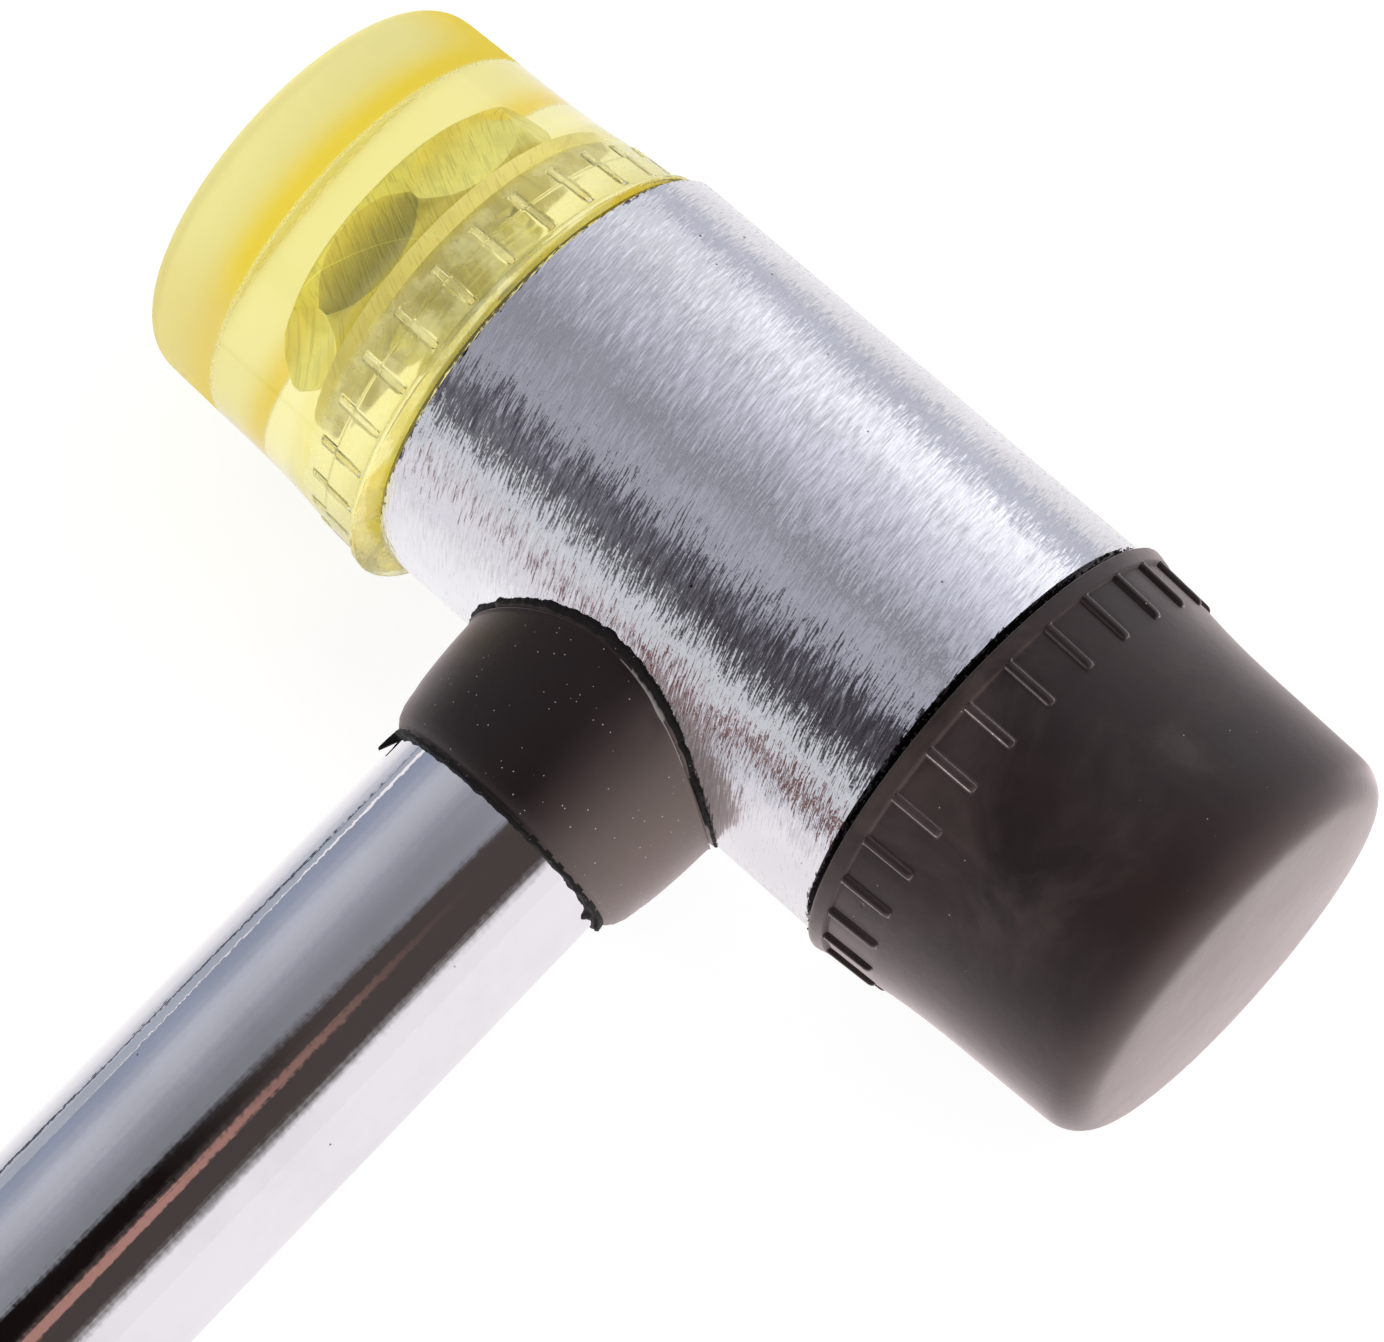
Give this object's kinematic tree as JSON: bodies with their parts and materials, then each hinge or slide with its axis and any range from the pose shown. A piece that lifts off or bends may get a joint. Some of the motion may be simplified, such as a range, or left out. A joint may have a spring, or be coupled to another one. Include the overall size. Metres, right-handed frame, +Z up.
{
  "type": "mallet",
  "caption": "Small mallet with a steel barrel, a clear and a black screw-on face, a chromed tube handle and a rubber grip.",
  "frame": {"origin": "middle of the footprint, on the surface that the mallet lies on, with its barrel and handle level", "axes": "+X along the barrel towards the black face, +Y along the handle towards the head, +Z up"},
  "size_m": [0.0778, 0.2626, 0.0313],
  "materials": {
    "brushed_chrome": "chromed steel, finely brushed round the barrel",
    "mirror_chrome": "polished chrome on drawn steel tube",
    "collar_rubber": "moulded rubber, satin, dusty specks",
    "grip_rubber": "moulded rubber, matt, finely textured",
    "plug_plastic": "moulded",
    "turned_steel": "turned",
    "zinc_steel": "zinc plated",
    "bolt_steel": "cold-headed, brushed",
    "clear_yellow": "translucent moulded plastic, glossy",
    "black_rubber": "moulded hard rubber, matt"
  },
  "bodies": {
    "mallet": {"barrel_shell": "brushed_chrome", "handle_tube": "mirror_chrome", "neck_collar": "collar_rubber", "grip_sleeve": "grip_rubber", "tube_end_plug": "plug_plastic", "clear_side_plug": "turned_steel", "black_side_plug": "turned_steel"},
    "clear_seat": {"clear_seat_washer": "zinc_steel"},
    "clear_tip": {"clear_face": "clear_yellow", "clear_face_bolt": "bolt_steel", "clear_head_washer": "zinc_steel"},
    "black_seat": {"black_seat_washer": "zinc_steel"},
    "black_tip": {"black_face": "black_rubber", "black_face_bolt": "bolt_steel", "black_head_washer": "zinc_steel"}
  },
  "joints": [
    {"name": "clear_face_travel", "type": "slide", "parent": "mallet", "child": "clear_seat", "axis": [-1, 0, 0], "range_m": [0, 0.008]},
    {"name": "clear_face_turn", "type": "hinge", "parent": "clear_seat", "child": "clear_tip", "pos_m": [-0.01845, 0.11568, 0.01565], "axis": [-1, 0, 0], "range_deg": [0, 2304]},
    {"name": "black_face_travel", "type": "slide", "parent": "mallet", "child": "black_seat", "axis": [1, 0, 0], "range_m": [0, 0.008]},
    {"name": "black_face_turn", "type": "hinge", "parent": "black_seat", "child": "black_tip", "pos_m": [0.01845, 0.11568, 0.01565], "axis": [1, 0, 0], "range_deg": [0, 2304]}
  ],
  "couplings": [
    {"joint": "clear_face_travel", "follows": "clear_face_turn", "m_per_rad": 0.00019894},
    {"joint": "black_face_travel", "follows": "black_face_turn", "m_per_rad": 0.00019894}
  ]
}
